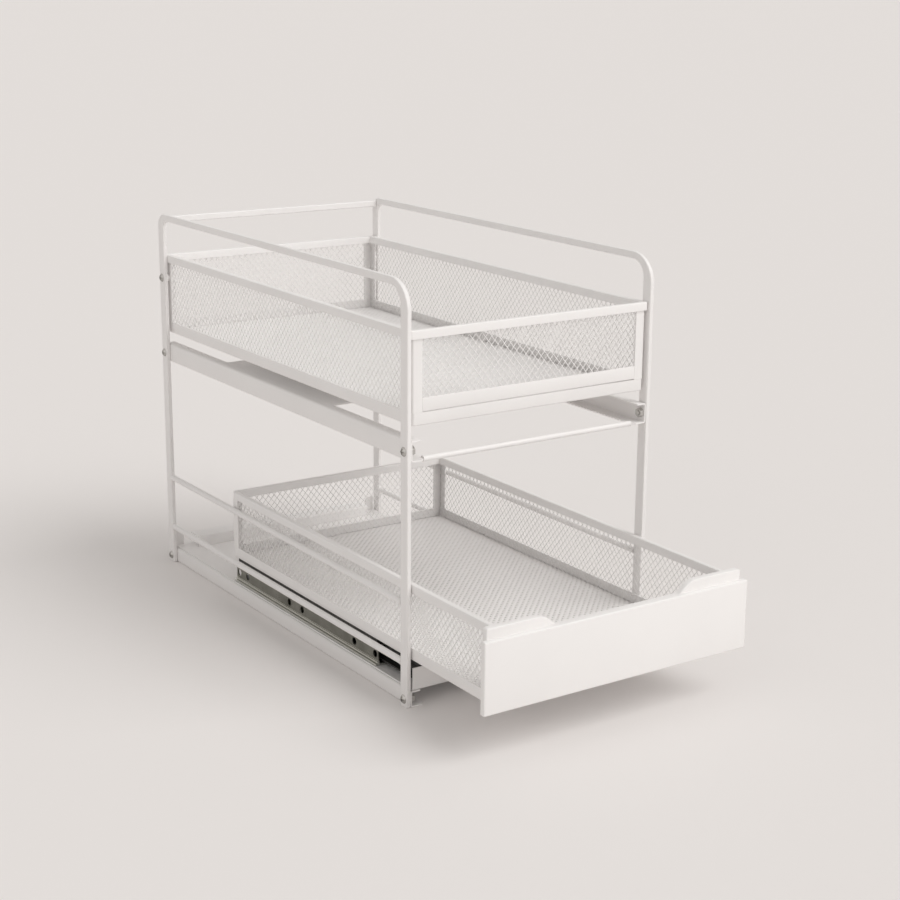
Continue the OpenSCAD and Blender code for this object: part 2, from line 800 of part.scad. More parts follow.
module slide_stops() {
    x = -channel_x + stop_side_gap;
    color(black) placed() on_both_sides()
        block([x, lip_in_y, channel_z + stop_foot_gap],
            [x + stop_w, lip_in_y + stop_len, channel_top_z - stop_top_gap]);
}

module ball_cage(side) {
    y0 = cage_mid_y - cage_len / 2;
    y1 = cage_mid_y + cage_len / 2;
    low = channel_mid_z - ball_rise;
    high = channel_mid_z + ball_rise;
    x0 = -cage_x;
    x1 = -cage_wing_x;
    color(zinc) placed() on_side(side) difference() {
        union() {
            block([x0, y0, low - cage_t / 2], [x0 + cage_t, y1, high + cage_t / 2]);
            block([x0, y0, high - cage_t / 2], [x1, y1, high + cage_t / 2]);
            block([x0, y0, low - cage_t / 2], [x1, y1, low + cage_t / 2]);
        }
        for (i = [0:ball_count - 1], z = [low, high])
            translate([-ball_x, y0 + cage_end + i * ball_pitch, z - cage_t])
                cylinder(d = ball_d + fit_play, h = 2 * cage_t);
    }
}

module balls(side) {
    y0 = cage_mid_y - cage_len / 2 + cage_end;
    color(steel) placed() on_side(side)
        for (i = [0:ball_count - 1], s = [-1, 1])
            translate([-ball_x, y0 + i * ball_pitch, channel_mid_z + s * ball_rise]) sphere(d = ball_d);
}

side_frame("left");  // side_frame_left
side_frame("right");  // side_frame_right
rear_top_rail();
guard_rod("left", rod_high_z);  // guard_rod_left_upper
guard_rod("left", rod_low_z);  // guard_rod_left_lower
guard_rod("right", rod_high_z);  // guard_rod_right_upper
guard_rod("right", rod_low_z);  // guard_rod_right_lower
shelf_rail("left");  // shelf_rail_left
shelf_rail("right");  // shelf_rail_right
shelf_tie_plate();
front_cross_rod();
base_rail("left");  // base_rail_left
base_rail("right");  // base_rail_right
base_tray();
frame_screws();
frame_nuts();
basket_rim();
basket_corner_posts();
basket_bottom_frame();
basket_front_sill();
basket_net_side("left");  // basket_net_left
basket_net_side("right");  // basket_net_right
basket_net_front();
basket_net_rear();
basket_net_floor();
basket_spacers();
basket_screws();
slide_rail("left");  // slide_rail_left
slide_rail("right");  // slide_rail_right
slide_rail_screws();
slide_stops();
drawer_rim();
drawer_corner_posts();
drawer_bottom_frame();
drawer_front_sheet();
drawer_front_panel();
drawer_net_side("left");  // drawer_net_left
drawer_net_side("right");  // drawer_net_right
drawer_net_rear();
drawer_net_floor();
slide_channel("left");  // slide_channel_left
slide_channel("right");  // slide_channel_right
channel_mount("left");  // channel_mount_left
channel_mount("right");  // channel_mount_right
mount_rivets();
ball_cage("left");  // ball_cage_left
ball_cage("right");  // ball_cage_right
balls("left");  // balls_left
balls("right");  // balls_right
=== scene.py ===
"""Looks of a two tier pull out cabinet basket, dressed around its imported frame.

Lengths are in metres in the frame's own axes: +X to the right, +Y to the rear, +Z up.
"""

import itertools
import logging
import math
from dataclasses import dataclass
from enum import Enum
from typing import Iterable, Optional, Sequence

import bmesh
import bpy
from mathutils import Matrix, Vector


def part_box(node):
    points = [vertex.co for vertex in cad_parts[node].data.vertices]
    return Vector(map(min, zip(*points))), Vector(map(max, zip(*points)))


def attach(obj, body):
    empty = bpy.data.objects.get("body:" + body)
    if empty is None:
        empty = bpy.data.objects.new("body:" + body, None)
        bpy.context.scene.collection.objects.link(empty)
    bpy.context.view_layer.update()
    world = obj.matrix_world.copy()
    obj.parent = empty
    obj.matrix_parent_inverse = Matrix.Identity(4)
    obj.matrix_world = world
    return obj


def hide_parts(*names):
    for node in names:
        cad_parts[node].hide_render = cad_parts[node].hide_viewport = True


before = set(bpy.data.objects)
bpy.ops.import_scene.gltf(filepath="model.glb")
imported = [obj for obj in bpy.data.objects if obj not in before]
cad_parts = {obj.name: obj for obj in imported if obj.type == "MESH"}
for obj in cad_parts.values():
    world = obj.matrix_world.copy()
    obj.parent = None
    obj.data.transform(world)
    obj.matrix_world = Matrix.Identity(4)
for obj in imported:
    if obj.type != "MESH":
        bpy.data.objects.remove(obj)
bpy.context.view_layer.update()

MM = 0.001
SIDES = ("left", "right")
# Places closer than this are the same, and corners further apart than that are different ones
SAME = 0.01 * MM
APART = 1 * MM
# How close to a cut a point has to be to count as on it
ON_CUT = 0.001 * MM
# An edge runs along an axis where it has at least this share of its length
PARALLEL = 0.999
# A sheet that turns by more than this has a fold there
FOLD_ANGLE = math.radians(20)
# Faces round a sheet's upright corners and round the folds along its edges
CORNER_FACES = 5
FOLD_FACES = 3
# A border that is cut off square in front is drawn this much longer first
SPARE_FRONT = 20 * MM

Tone = tuple[float, float, float]
log = logging.getLogger("cabinet_basket")


class Slot(Enum):
    """Material slots of the record."""

    WHITE_COAT = "white_coat"
    ZINC = "zinc_steel"
    DARK_STEEL = "dark_steel"
    FASTENER = "fastener_steel"
    BALL = "ball_steel"
    RUBBER = "stop_rubber"


class Body(Enum):
    """Bodies that pieces ride on."""

    FRAME = "root"
    DRAWER = "drawer"
    CAGE_LEFT = "cage_left"
    CAGE_RIGHT = "cage_right"


# ---- Finishes ----


@dataclass(frozen=True)
class Grain:
    """The size of a noise.

    Attributes:
        per_metre: Features per metre.
        octaves: Octaves of finer noise.
        stretch: Factor on the coordinates along each axis, below 1 where the noise runs on.
    """

    per_metre: float
    octaves: float
    stretch: tuple[float, float, float] = (1.0, 1.0, 1.0)


class NodeBench:
    """Short calls for the nodes of one material."""

    # Where a noise counts as low and as high, for a colour and for the roughness
    tone_span = (0.35, 0.65)
    rough_span = (0.3, 0.7)
    # A Mix node's colour sockets share their names with its other kinds, so they go by number
    mix_factor, mix_above, mix_below, mix_result = 0, 6, 7, 2

    def __init__(self, name: str) -> None:
        """Starts an empty node material.

        Args:
            name: The material's name.
        """
        self.material = bpy.data.materials.new(name)
        self.material.use_nodes = True
        self.nodes = self.material.node_tree.nodes
        self.links = self.material.node_tree.links
        self.nodes.clear()
        self.coords = self.nodes.new("ShaderNodeTexCoord").outputs["Object"]
        self.shader = self.nodes.new("ShaderNodeBsdfPrincipled")
        self.output = self.nodes.new("ShaderNodeOutputMaterial")
        self.links.new(self.shader.outputs["BSDF"], self.output.inputs["Surface"])

    def set(self, **values: object) -> None:
        """Sets plain values on the shader's own sockets, underscores standing for spaces."""
        for name, value in values.items():
            self.shader.inputs[name.replace("_", " ")].default_value = value

    def noise(self, grain: Grain) -> bpy.types.NodeSocket:
        """Noise on object coordinates.

        Args:
            grain: Its size.

        Returns:
            The noise's factor.
        """
        mapping = self.nodes.new("ShaderNodeMapping")
        mapping.inputs["Scale"].default_value = grain.stretch
        noise = self.nodes.new("ShaderNodeTexNoise")
        noise.inputs["Scale"].default_value = grain.per_metre
        noise.inputs["Detail"].default_value = grain.octaves
        self.links.new(self.coords, mapping.inputs["Vector"])
        self.links.new(mapping.outputs["Vector"], noise.inputs["Vector"])
        return noise.outputs["Fac"]

    def blend(self, factor: bpy.types.NodeSocket, low: Tone, high: Tone) -> None:
        """Colours the surface between two tones.

        Args:
            factor: What chooses the tone, around a half.
            low: Colour where the factor is small.
            high: Colour where it is large.
        """
        ramp = self.nodes.new("ShaderNodeValToRGB")
        for element, position, tone in zip(ramp.color_ramp.elements, self.tone_span, (low, high)):
            element.position = position
            element.color = (*tone, 1.0)
        self.links.new(factor, ramp.inputs["Fac"])
        self.links.new(ramp.outputs["Color"], self.shader.inputs["Base Color"])

    def band(self, level: float, edge: float, tone: Tone) -> None:
        """Gives the surface another tone below a height.

        Args:
            level: The height.
            edge: How far the change of tone spreads.
            tone: The colour below it.
        """
        parts = self.nodes.new("ShaderNodeSeparateXYZ")
        span = self.nodes.new("ShaderNodeMapRange")
        span.inputs["From Min"].default_value = level + edge
        span.inputs["From Max"].default_value = level - edge
        mix = self.nodes.new("ShaderNodeMix")
        mix.data_type = "RGBA"
        colour = self.shader.inputs["Base Color"].links[0].from_socket
        self.links.new(self.coords, parts.inputs["Vector"])
        self.links.new(parts.outputs["Z"], span.inputs["Value"])
        self.links.new(span.outputs["Result"], mix.inputs[self.mix_factor])
        self.links.new(colour, mix.inputs[self.mix_above])
        mix.inputs[self.mix_below].default_value = (*tone, 1.0)
        self.links.new(mix.outputs[self.mix_result], self.shader.inputs["Base Color"])

    def rough(self, factor: bpy.types.NodeSocket, between: tuple[float, float]) -> None:
        """Lets the roughness wander between two values.

        Args:
            factor: What chooses the roughness, around a half.
            between: The two values.
        """
        span = self.nodes.new("ShaderNodeMapRange")
        ends = zip(("From Min", "From Max", "To Min", "To Max"), (*self.rough_span, *between))
        for name, value in ends:
            span.inputs[name].default_value = value
        self.links.new(factor, span.inputs["Value"])
        self.links.new(span.outputs["Result"], self.shader.inputs["Roughness"])

    def bump(self, height: bpy.types.NodeSocket, strength: float, distance: float) -> None:
        """Raises the surface by a height.

        Args:
            height: The height, as a factor.
            strength: How much of it shows.
            distance: How far a factor of 1 raises the surface.
        """
        bump = self.nodes.new("ShaderNodeBump")
        bump.inputs["Strength"].default_value = strength
        bump.inputs["Distance"].default_value = distance
        self.links.new(height, bump.inputs["Height"])
        self.links.new(bump.outputs["Normal"], self.shader.inputs["Normal"])


@dataclass(frozen=True)
class PowderCoat:
    """Matte powder coat, baked on steel: a fine orange peel and a faint change of tone."""

    light: Tone = (0.885, 0.866, 0.856)
    shade: Tone = (0.865, 0.846, 0.836)
    cloud: Grain = Grain(14.0, 3.0)
    gloss: Grain = Grain(60.0, 4.0)
    roughness: tuple[float, float] = (0.44, 0.56)
    peel: Grain = Grain(900.0, 2.0)
    peel_strength: float = 0.22
    peel_height: float = 0.05 * MM
    specular: float = 0.42

    def material(self) -> bpy.types.Material:
        """Makes the material.

        Returns:
            The finished material.
        """
        bench = NodeBench("white_powder_coat")
        bench.blend(bench.noise(self.cloud), self.shade, self.light)
        bench.rough(bench.noise(self.gloss), self.roughness)
        bench.bump(bench.noise(self.peel), self.peel_strength, self.peel_height)
        bench.set(Specular_IOR_Level=self.specular)
        return bench.material


@dataclass(frozen=True)
class PlatedSteel:
    """Plated sheet steel with fine lines, which run along it where they are stretched.

    Below the level given, if it isn't 0, a painted highlight brightens the plating, standing for the light
    that the slide channels' beads catch.
    """

    name: str = "zinc_plate"
    # These default tones, which the zinc takes, are painted far darker than bright plating: painted shade
    # for the slide channel webs that lie under the drawer
    light: Tone = (0.27, 0.27, 0.24)
    shade: Tone = (0.19, 0.19, 0.165)
    roughness: tuple[float, float] = (0.26, 0.42)
    stain: Grain = Grain(45.0, 4.0)
    lines: Grain = Grain(1600.0, 3.0, (1.0, 0.04, 1.0))
    line_strength: float = 0.10
    line_height: float = 0.02 * MM
    # Below this level a painted highlight, not wear, stands for the light that the slide channels' lower
    # beads catch
    highlight_level: float = 0.0
    highlight_spread: float = 0.2 * MM
    highlight_tone: Tone = (0.64, 0.64, 0.60)

    def material(self) -> bpy.types.Material:
        """Makes the material.

        Returns:
            The finished material.
        """
        bench = NodeBench(self.name)
        lines = bench.noise(self.lines)
        bench.blend(bench.noise(self.stain), self.shade, self.light)
        # Paints the beads' highlight as a brighter tone below that level
        if self.highlight_level:
            bench.band(self.highlight_level, self.highlight_spread, self.highlight_tone)
        bench.rough(lines, self.roughness)
        bench.bump(lines, self.line_strength, self.line_height)
        bench.set(Metallic=1.0)
        return bench.material


@dataclass(frozen=True)
class BlackSteel:
    """Blackened, lightly oiled sheet steel."""

    light: Tone = (0.060, 0.057, 0.053)
    shade: Tone = (0.028, 0.027, 0.025)
    stain: Grain = Grain(70.0, 4.0)
    oil: Grain = Grain(180.0, 3.0)
    roughness: tuple[float, float] = (0.34, 0.52)
    skin: Grain = Grain(1300.0, 2.0)
    skin_strength: float = 0.15
    skin_height: float = 0.02 * MM
    metallic: float = 0.35

    def material(self) -> bpy.types.Material:
        """Makes the material.

        Returns:
            The finished material.
        """
        bench = NodeBench("black_steel")
        bench.blend(bench.noise(self.stain), self.shade, self.light)
        bench.rough(bench.noise(self.oil), self.roughness)
        bench.bump(bench.noise(self.skin), self.skin_strength, self.skin_height)
        bench.set(Metallic=self.metallic)
        return bench.material


@dataclass(frozen=True)
class PolishedSteel:
    """Hardened bearing steel, ground and polished."""

    light: Tone = (0.80, 0.80, 0.81)
    shade: Tone = (0.70, 0.70, 0.72)
    cloud: Grain = Grain(300.0, 2.0)
    gloss: Grain = Grain(900.0, 2.0)
    roughness: tuple[float, float] = (0.07, 0.15)

    def material(self) -> bpy.types.Material:
        """Makes the material.

        Returns:
            The finished material.
        """
        bench = NodeBench("bearing_steel")
        bench.blend(bench.noise(self.cloud), self.shade, self.light)
        bench.rough(bench.noise(self.gloss), self.roughness)
        bench.set(Metallic=1.0)
        return bench.material


@dataclass(frozen=True)
class BlackRubber:
    """Moulded black rubber with a dull, slightly dusty skin."""

    light: Tone = (0.050, 0.049, 0.047)
    shade: Tone = (0.024, 0.024, 0.023)
    dust: Grain = Grain(160.0, 4.0)
    gloss: Grain = Grain(300.0, 3.0)
    roughness: tuple[float, float] = (0.68, 0.84)
    skin: Grain = Grain(1500.0, 2.0)
    skin_strength: float = 0.25
    skin_height: float = 0.03 * MM

    def material(self) -> bpy.types.Material:
        """Makes the material.

        Returns:
            The finished material.
        """
        bench = NodeBench("black_rubber")
        bench.blend(bench.noise(self.dust), self.shade, self.light)
        bench.rough(bench.noise(self.gloss), self.roughness)
        bench.bump(bench.noise(self.skin), self.skin_strength, self.skin_height)
        return bench.material


class Finishes:
    """Every slot's material, made once."""

    # Height of the slide channels' lower edges, below which a painted highlight stands for the light that
    # their beads catch
    bead_highlight_height = 18.4 * MM
    nickel = PlatedSteel("nickel_plate", (0.56, 0.55, 0.53), (0.44, 0.43, 0.41), (0.24, 0.38),
                         lines=Grain(1600.0, 3.0))

    def __init__(self) -> None:
        """Makes the materials."""
        self.by_slot = {
            Slot.WHITE_COAT: PowderCoat().material(),
            Slot.ZINC: PlatedSteel(highlight_level=self.bead_highlight_height).material(),
            Slot.DARK_STEEL: BlackSteel().material(),
            Slot.FASTENER: self.nickel.material(),
            Slot.BALL: PolishedSteel().material(),
            Slot.RUBBER: BlackRubber().material(),
        }

    def dress(self, piece: bpy.types.Object, slot: Slot) -> None:
        """Gives a piece its slot's material.

        Args:
            piece: The piece.
            slot: Its material slot.
        """
        piece.data.materials.clear()
        piece.data.materials.append(self.by_slot[slot])


# ---- Shared shop work ----


@dataclass(frozen=True)
class Span:
    """A node's box, as the frame gives it."""

    low: Vector
    high: Vector

    @classmethod
    def of(cls, node: str) -> "Span":
        """Returns the box of a node."""
        low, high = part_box(node)
        return cls(low, high)

    @property
    def middle(self) -> Vector:
        """The box's middle."""
        return (self.low + self.high) / 2

    @property
    def size(self) -> Vector:
        """The box's three lengths."""
        return self.high - self.low


class Shop:
    """Turns meshes into finished pieces that stand for their nodes."""

    # Edges are shaded smooth below the first of these angles and broken above the second
    smooth_below = math.radians(34)
    break_above = math.radians(32)
    # Faces of a node's copy are joined where they meet this closely and are this flat
    weld_gap = 0.002 * MM
    flat_within = math.radians(0.6)
    sheet_edge = 0.28 * MM

    def __init__(self, finishes: Finishes) -> None:
        """Keeps the finishes that pieces are dressed with."""
        self.finishes = finishes
        self.count = 0

    def piece(self, name: str, bm: bmesh.types.BMesh, body: Body, slot: Slot,
              *nodes: str) -> bpy.types.Object:
        """Makes a piece of a mesh.

        Args:
            name: The piece's name.
            bm: Its mesh, which is freed.
            body: What it rides on.
            slot: Its material slot.
            nodes: The nodes that it stands for.

        Returns:
            The piece.
        """
        mesh = bpy.data.meshes.new(name)
        bm.to_mesh(mesh)
        bm.free()
        mesh.shade_smooth()
        mesh.set_sharp_from_angle(angle=self.smooth_below)
        obj = bpy.data.objects.new(name, mesh)
        bpy.context.scene.collection.objects.link(obj)
        self.finishes.dress(obj, slot)
        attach(obj, body.value)
        if nodes:
            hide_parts(*nodes)
        self.count += 1
        log.info("%s: %d faces on %s", name, len(mesh.polygons), body.value)
        return obj

    def refined(self, node: str, body: Body, slot: Slot, soften: float = 0.0) -> None:
        """Makes a piece of a copy of a node, with its faces joined and its edges broken.

        Args:
            node: The node.
            body: What it rides on.
            slot: Its material slot.
            soften: Width of the broken edges, none if 0.
        """
        bm = bmesh.new()
        bm.from_mesh(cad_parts[node].data)
        bmesh.ops.remove_doubles(bm, verts=bm.verts, dist=self.weld_gap)
        bmesh.ops.dissolve_limit(bm, angle_limit=self.flat_within, verts=bm.verts, edges=bm.edges)
        obj = self.piece(node + "_finished", bm, body, slot, node)
        if soften:
            self.break_edges(obj, soften)

    def break_edges(self, obj: bpy.types.Object, width: float, segments: int = 2) -> None:
        """Rounds a piece's sharp edges.

        Args:
            obj: The piece.
            width: Width of the rounding.
            segments: Faces round each edge.
        """
        bevel = obj.modifiers.new("broken_edges", "BEVEL")
        bevel.width = width
        bevel.segments = segments
        bevel.limit_method = "ANGLE"
        bevel.angle_limit = self.break_above
        bevel.use_clamp_overlap = True
        bevel.harden_normals = True

    @staticmethod
    def thicken(obj: bpy.types.Object, thickness: float) -> None:
        """Gives a sheet its thickness, behind the faces as drawn.

        Args:
            obj: The sheet.
            thickness: Its thickness.
        """
        solidify = obj.modifiers.new("sheet", "SOLIDIFY")
        solidify.thickness = thickness
        solidify.offset = -1.0
        solidify.use_even_offset = True

    def sheet(self, name: str, bm: bmesh.types.BMesh, thickness: float, body: Body,
              *nodes: str) -> bpy.types.Object:
        """Makes a coated sheet piece of a drawn surface.

        Args:
            name: The piece's name.
            bm: Its outer surface.
            thickness: The sheet's thickness.
            body: What it rides on.
            nodes: The nodes that it stands for.

        Returns:
            The piece.
        """
        obj = self.piece(name, bm, body, Slot.WHITE_COAT, *nodes)
        self.thicken(obj, thickness)
        self.break_edges(obj, self.sheet_edge)
        return obj


def same(first: float, second: float) -> bool:
    """True for two places at the same spot."""
    return abs(first - second) < SAME


def face_towards(bm: bmesh.types.BMesh, direction: Vector) -> None:
    """Makes an open surface's normals agree, its face nearest a direction pointing that way.

    Args:
        bm: The surface.
        direction: Where that face should look.
    """
    bmesh.ops.recalc_face_normals(bm, faces=bm.faces)
    bm.normal_update()
    best = max(bm.faces, key=lambda f: abs(f.normal.dot(direction)) * f.calc_area())
    if best.normal.dot(direction) < 0:
        bmesh.ops.reverse_faces(bm, faces=bm.faces)


def edges_along(bm: bmesh.types.BMesh, axis: int) -> list[bmesh.types.BMEdge]:
    """The edges between two faces that run along an axis.

    Args:
        bm: The mesh.
        axis: 0, 1 or 2.

    Returns:
        The edges.
    """
    found = []
    for edge in bm.edges:
        run = edge.verts[1].co - edge.verts[0].co
        if abs(run[axis]) > PARALLEL * run.length and len(edge.link_faces) == 2:
            found.append(edge)
    return found


def is_level(edge: bmesh.types.BMEdge) -> bool:
    """True for an edge whose ends are at one height."""
    return same(edge.verts[0].co.z, edge.verts[1].co.z)


def is_fold(edge: bmesh.types.BMEdge) -> bool:
    """True where a surface is folded."""
    return len(edge.link_faces) == 2 and edge.calc_face_angle(0.0) > FOLD_ANGLE


def bend_folds(bm: bmesh.types.BMesh, radius: float, segments: int = 4,
               edges: Optional[Iterable[bmesh.types.BMEdge]] = None) -> None:
    """Rounds a surface's folds.

    Args:
        bm: The surface.
        radius: The bend's outer radius.
        segments: Faces round each bend.
        edges: The folds, or None for every one.
    """
    folds = [e for e in (edges if edges is not None else bm.edges) if is_fold(e)]
    if folds:
        bmesh.ops.bevel(bm, geom=folds, offset=radius, offset_type="OFFSET", affect="EDGES",
                        segments=segments, profile=0.5, material=-1, clamp_overlap=True)


def folded_strip(points: Sequence[Vector], sweep: Vector, radius: float) -> bmesh.types.BMesh:
    """A strip of sheet folded along a chain of points.

    Args:
        points: The chain across the strip.
        sweep: The strip's length.
        radius: The outer radius of its folds.

    Returns:
        The open surface.
    """
    bm = bmesh.new()
    verts = [bm.verts.new(p) for p in points]
    chain = [bm.edges.new(pair) for pair in zip(verts, verts[1:])]
    grown = bmesh.ops.extrude_edge_only(bm, edges=chain)["geom"]
    bmesh.ops.translate(bm, verts=[g for g in grown if isinstance(g, bmesh.types.BMVert)], vec=sweep)
    bend_folds(bm, radius)
    return bm


def ring(xs: Sequence[float], ys: Sequence[float], z: float) -> bmesh.types.BMesh:
    """A flat rectangular ring.

    Args:
        xs: The four places across X, outer, inner, inner, outer.
        ys: The same along Y.
        z: Its height.

    Returns:
        The open surface.
    """
    bm = bmesh.new()
    bmesh.ops.create_grid(bm, x_segments=3, y_segments=3, size=0.5)
    for vert in bm.verts:
        column = round((vert.co.x + 0.5) * 3)
        row = round((vert.co.y + 0.5) * 3)
        vert.co = (xs[column], ys[row], z)
    centre = Vector(((xs[1] + xs[2]) / 2, (ys[1] + ys[2]) / 2, z))
    middle = min(bm.faces, key=lambda f: (f.calc_center_median() - centre).length)
    bmesh.ops.delete(bm, geom=[middle], context="FACES_ONLY")
    return bm


def drop_edges(bm: bmesh.types.BMesh, edges: Sequence[bmesh.types.BMEdge], by: Vector) -> None:
    """Pulls new faces out of open edges.

    Args:
        bm: The surface.
        edges: The open edges.
        by: How far the faces reach, and which way.
    """
    grown = bmesh.ops.extrude_edge_only(bm, edges=list(edges))["geom"]
    bmesh.ops.translate(bm, verts=[g for g in grown if isinstance(g, bmesh.types.BMVert)], vec=by)


def two_sided_rim(xs: Sequence[float], ys: Sequence[float], z: float, drop: float, corner_radius: float,
                  fold_radius: float) -> bmesh.types.BMesh:
    """A ledge with a skirt turned down along its outer and its inner edges.

    Args:
        xs: The four places across X, outer, inner, inner, outer.
        ys: The same along Y.
        z: Height of the ledge.
        drop: Depth of the skirts.
        corner_radius: Outer radius of the upright corners.
        fold_radius: Outer radius of the folds along the ledge.

    Returns:
        The open surface, facing out.
    """
    bm = ring(xs, ys, z)
    drop_edges(bm, [e for e in bm.edges if e.is_boundary], Vector((0, 0, -drop)))
    outer = [e for e in edges_along(bm, 2) if any(same(e.verts[0].co.x, x) for x in (xs[0], xs[3]))]
    bend_folds(bm, corner_radius, CORNER_FACES, outer)
    bend_folds(bm, fold_radius, FOLD_FACES, filter(is_level, bm.edges))
    face_towards(bm, Vector((0, 0, 1)))
    return bm


def cut_off(bm: bmesh.types.BMesh, point: Vector, normal: Sequence[float]) -> None:
    """Cuts away what lies past a plane.

    Args:
        bm: The surface.
        point: A point of the plane.
        normal: The plane's direction, towards what goes.
    """
    bmesh.ops.bisect_plane(bm, geom=[*bm.verts, *bm.edges, *bm.faces], dist=ON_CUT, plane_co=point,
                           plane_no=normal, clear_outer=True)


def round_corners(bm: bmesh.types.BMesh, corners: Sequence[bmesh.types.BMVert], radius: float,
                  segments: int) -> None:
    """Rounds a flat sheet's corners, or cuts them off where it has one segment.

    Args:
        bm: The sheet.
        corners: The corners.
        radius: How far along the edges each one reaches.
        segments: Edges round each corner.
    """
    bmesh.ops.bevel(bm, geom=corners, offset=radius, offset_type="OFFSET", affect="VERTICES",
                    segments=segments, profile=0.5, material=-1)


def side_name(side: int) -> str:
    """The name of a side, -1 for the left one and 1 for the right one."""
    return "left" if side < 0 else "right"


def block(low: Vector, high: Vector) -> bmesh.types.BMesh:
    """A box between two corners.

    Args:
        low: The corner with the lowest coordinates.
        high: The corner with the highest ones.

    Returns:
        The closed mesh.
    """
    bm = bmesh.new()
    bmesh.ops.create_cube(bm, size=1.0)
    bmesh.ops.scale(bm, vec=high - low, verts=bm.verts)
    bmesh.ops.translate(bm, vec=(low + high) / 2, verts=bm.verts)
    return bm


def push(bm: bmesh.types.BMesh, face: bmesh.types.BMFace, by: Vector, keep: bool) -> bmesh.types.BMFace:
    """Extrudes a section straight on.

    Args:
        bm: The mesh.
        face: The section.
        by: How far, and which way.
        keep: True where the section stays, as the mesh's end.

    Returns:
        The new end face.
    """
    grown = bmesh.ops.extrude_face_region(bm, geom=[face], use_keep_orig=keep)["geom"]
    bmesh.ops.translate(bm, vec=by, verts=[g for g in grown if isinstance(g, bmesh.types.BMVert)])
    return next(g for g in grown if isinstance(g, bmesh.types.BMFace))


# ---- Frame ----


@dataclass
class SideFrames:
    """The two bent flat bars, and the bar that ties them at the rear."""

    shop: Shop
    bar_depth: float = 10 * MM
    top_height: float = 6 * MM
    front_bend: float = 24 * MM
    rear_bend: float = 12 * MM
    foot_radius: float = 1.2 * MM
    edge_radius: float = 1.0 * MM
    edge_faces: int = 4
    arc_step: float = 1.2 * MM
    least_faces: int = 3

    def build(self) -> None:
        """Makes the three bars."""
        for side in SIDES:
            node = f"side_frame_{side}"
            self.bar(node, self.bent_bar(Span.of(node)))
        rail = Span.of("rear_top_rail")
        self.bar("rear_top_rail", block(rail.low, rail.high))

    def bar(self, node: str, bm: bmesh.types.BMesh) -> None:
        """Finishes one bar's mesh as the piece that stands for a node."""
        bar = self.shop.piece(f"{node}_bar", bm, Body.FRAME, Slot.WHITE_COAT, node)
        self.shop.break_edges(bar, self.edge_radius, self.edge_faces)

    def bent_bar(self, span: Span) -> bmesh.types.BMesh:
        """A flat bar that rises, runs to the rear and comes down again.

        Args:
            span: The bar's box.

        Returns:
            The closed mesh.
        """
        front, rear = span.low.y, span.high.y
        foot, top = span.low.z, span.high.z
        under = top - self.top_height
        corners = (
            (front, foot, self.foot_radius),
            (front, top, self.front_bend),
            (rear, top, self.rear_bend),
            (rear, foot, self.foot_radius),
            (rear - self.bar_depth, foot, self.foot_radius),
            (rear - self.bar_depth, under, self.rear_bend - self.top_height),
            (front + self.bar_depth, under, self.front_bend - self.bar_depth),
            (front + self.bar_depth, foot, self.foot_radius),
        )
        bm = bmesh.new()
        verts = [bm.verts.new((span.low.x, y, z)) for y, z, _ in corners]
        bm.faces.new(verts)
        for vert, (_, _, radius) in zip(verts, corners):
            round_corners(bm, [vert], radius, max(self.least_faces, round(radius / self.arc_step)))
        grown = bmesh.ops.extrude_face_region(bm, geom=bm.faces[:], use_keep_orig=True)["geom"]
        across = Vector((span.size.x, 0, 0))
        bmesh.ops.translate(bm, vec=across, verts=[g for g in grown if isinstance(g, bmesh.types.BMVert)])
        bmesh.ops.recalc_face_normals(bm, faces=bm.faces)
        return bm


@dataclass
class Rods:
    """Round rods, each ending in a small weld."""

    shop: Shop
    sides: int = 28
    weld_length: float = 1.0 * MM
    weld_flare: float = 1.14

    def build(self) -> None:
        """Makes the guard rods and the cross rod."""
        for side in SIDES:
            for level in ("upper", "lower"):
                self.rod(f"guard_rod_{side}_{level}", 1)
        self.rod("front_cross_rod", 0)

    def rod(self, node: str, axis: int) -> None:
        """Makes one rod.

        Args:
            node: The node that it stands for.
            axis: 0 or 1, the axis that it runs along.
        """
        span = Span.of(node)
        radius = span.size.z / 2
        length = span.size[axis]
        bm = bmesh.new()
        bmesh.ops.create_circle(bm, cap_ends=True, segments=self.sides, radius=radius * self.weld_flare)
        (face,) = bm.faces
        steps = (
            (self.weld_length, 1 / self.weld_flare),
            (length - 2 * self.weld_length, 1.0),
            (self.weld_length, self.weld_flare),
        )
        for number, (rise, scale) in enumerate(steps):
            face = push(bm, face, Vector((0, 0, rise)), keep=number == 0)
            space = Matrix.Translation(-face.calc_center_median())
            bmesh.ops.scale(bm, vec=(scale, scale, 1.0), verts=face.verts, space=space)
        quarter = math.radians(90)
        turn = Matrix.Rotation(quarter, 4, "Y") if axis == 0 else Matrix.Rotation(-quarter, 4, "X")
        start = span.middle.copy()
        start[axis] = span.low[axis]
        bmesh.ops.transform(bm, matrix=Matrix.Translation(start) @ turn, verts=bm.verts)
        bmesh.ops.recalc_face_normals(bm, faces=bm.faces)
        self.shop.piece(f"{node}_welded", bm, Body.FRAME, Slot.WHITE_COAT, node)


